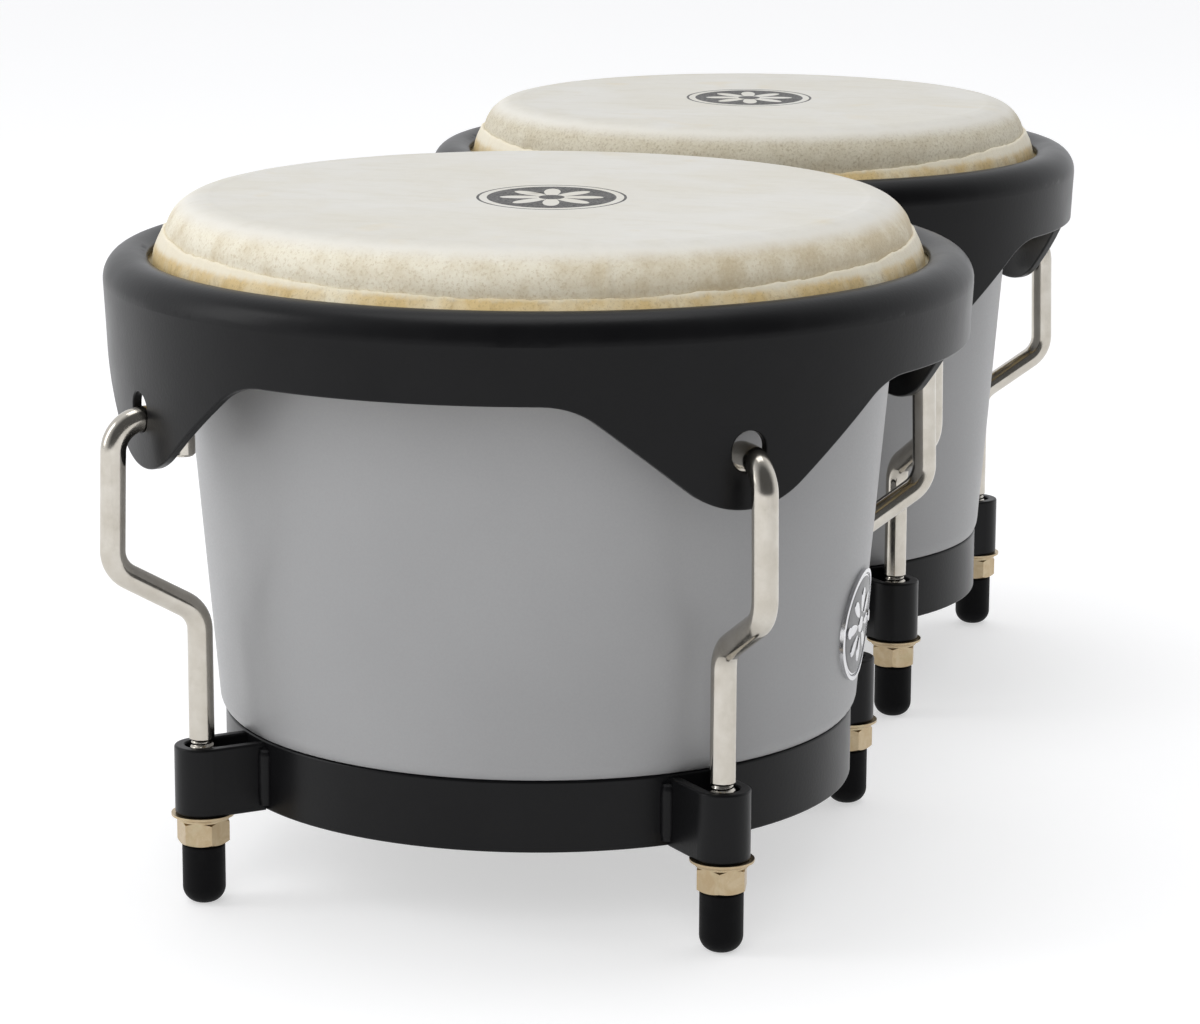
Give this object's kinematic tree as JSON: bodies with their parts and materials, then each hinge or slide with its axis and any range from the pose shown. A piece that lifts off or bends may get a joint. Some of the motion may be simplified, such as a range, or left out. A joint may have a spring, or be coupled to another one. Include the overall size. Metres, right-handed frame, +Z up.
{
  "type": "bongo drum pair",
  "caption": "Pair of tunable hand drums joined by a centre block, with rolled steel rims, tapered shells, rawhide heads and cranked hook rods on rubber feet.",
  "frame": {"origin": "centre of the footprint box, on the surface the rubber feet stand on", "axes": "+Z up, +X from the large drum to the small drum, badge on the -Y side"},
  "size_m": [0.4308, 0.2226, 0.1746],
  "materials": {
    "shell_grey": "satin moulded plastic",
    "black_steel": "satin powder coat",
    "rawhide": "dry natural hide",
    "nickel_rod": "bright nickel plating",
    "yellow_zinc": "yellow zinc plating",
    "black_rubber": "matt",
    "plain_steel": "zinc plated",
    "brass_insert": "turned",
    "block_black": "moulded, fine texture",
    "badge_metal": "polished border, grey field"
  },
  "bodies": {
    "root": {"large_shell": "shell_grey", "large_head": "rawhide", "large_bottom_ring": "black_steel", "large_lug_brackets": "black_steel", "large_cup_washers": "yellow_zinc", "large_saddle": "block_black", "small_shell": "shell_grey", "small_head": "rawhide", "small_bottom_ring": "black_steel", "small_lug_brackets": "black_steel", "small_cup_washers": "yellow_zinc", "small_saddle": "block_black", "centre_block": "block_black", "block_bolts": "plain_steel", "block_washers": "plain_steel", "block_inserts": "brass_insert", "badge": "badge_metal", "badge_pins": "plain_steel"},
    "large_tuning": {"large_rim": "black_steel", "large_flesh_hoop": "plain_steel", "large_tucked_skin": "rawhide", "large_hook_rod_1": "nickel_rod", "large_hook_rod_2": "nickel_rod", "large_hook_rod_3": "nickel_rod", "large_hook_rod_4": "nickel_rod", "large_rubber_foot_1": "black_rubber", "large_rubber_foot_2": "black_rubber", "large_rubber_foot_3": "black_rubber", "large_rubber_foot_4": "black_rubber"},
    "small_tuning": {"small_rim": "black_steel", "small_flesh_hoop": "plain_steel", "small_tucked_skin": "rawhide", "small_hook_rod_1": "nickel_rod", "small_hook_rod_2": "nickel_rod", "small_hook_rod_3": "nickel_rod", "small_hook_rod_4": "nickel_rod", "small_rubber_foot_1": "black_rubber", "small_rubber_foot_2": "black_rubber", "small_rubber_foot_3": "black_rubber", "small_rubber_foot_4": "black_rubber"},
    "large_nut_1": {"large_tuning_nut_1": "yellow_zinc"},
    "large_nut_2": {"large_tuning_nut_2": "yellow_zinc"},
    "large_nut_3": {"large_tuning_nut_3": "yellow_zinc"},
    "large_nut_4": {"large_tuning_nut_4": "yellow_zinc"},
    "small_nut_1": {"small_tuning_nut_1": "yellow_zinc"},
    "small_nut_2": {"small_tuning_nut_2": "yellow_zinc"},
    "small_nut_3": {"small_tuning_nut_3": "yellow_zinc"},
    "small_nut_4": {"small_tuning_nut_4": "yellow_zinc"}
  },
  "joints": [
    {"name": "large_tension", "type": "slide", "parent": "root", "child": "large_tuning", "axis": [0, 0, -1], "range_m": [0, 0.008]},
    {"name": "large_nut_1_turn", "type": "hinge", "parent": "root", "child": "large_nut_1", "pos_m": [-0.03636, 0.06774, 0.01875], "axis": [0, 0, 1], "range_deg": [0, 2270]},
    {"name": "large_nut_2_turn", "type": "hinge", "parent": "root", "child": "large_nut_2", "pos_m": [-0.17184, 0.06774, 0.01875], "axis": [0, 0, 1], "range_deg": [0, 2270]},
    {"name": "large_nut_3_turn", "type": "hinge", "parent": "root", "child": "large_nut_3", "pos_m": [-0.17184, -0.06774, 0.01875], "axis": [0, 0, 1], "range_deg": [0, 2270]},
    {"name": "large_nut_4_turn", "type": "hinge", "parent": "root", "child": "large_nut_4", "pos_m": [-0.03636, -0.06774, 0.01875], "axis": [0, 0, 1], "range_deg": [0, 2270]},
    {"name": "small_tension", "type": "slide", "parent": "root", "child": "small_tuning", "axis": [0, 0, -1], "range_m": [0, 0.008]},
    {"name": "small_nut_1_turn", "type": "hinge", "parent": "root", "child": "small_nut_1", "pos_m": [0.1772, 0.0601, 0.01875], "axis": [0, 0, 1], "range_deg": [0, 2270]},
    {"name": "small_nut_2_turn", "type": "hinge", "parent": "root", "child": "small_nut_2", "pos_m": [0.057, 0.0601, 0.01875], "axis": [0, 0, 1], "range_deg": [0, 2270]},
    {"name": "small_nut_3_turn", "type": "hinge", "parent": "root", "child": "small_nut_3", "pos_m": [0.057, -0.0601, 0.01875], "axis": [0, 0, 1], "range_deg": [0, 2270]},
    {"name": "small_nut_4_turn", "type": "hinge", "parent": "root", "child": "small_nut_4", "pos_m": [0.1772, -0.0601, 0.01875], "axis": [0, 0, 1], "range_deg": [0, 2270]}
  ],
  "couplings": [
    {"joint": "large_nut_1_turn", "follows": "large_tension", "rad_per_m": 4947.4},
    {"joint": "large_nut_2_turn", "follows": "large_tension", "rad_per_m": 4947.4},
    {"joint": "large_nut_3_turn", "follows": "large_tension", "rad_per_m": 4947.4},
    {"joint": "large_nut_4_turn", "follows": "large_tension", "rad_per_m": 4947.4},
    {"joint": "small_nut_1_turn", "follows": "small_tension", "rad_per_m": 4947.4},
    {"joint": "small_nut_2_turn", "follows": "small_tension", "rad_per_m": 4947.4},
    {"joint": "small_nut_3_turn", "follows": "small_tension", "rad_per_m": 4947.4},
    {"joint": "small_nut_4_turn", "follows": "small_tension", "rad_per_m": 4947.4}
  ]
}
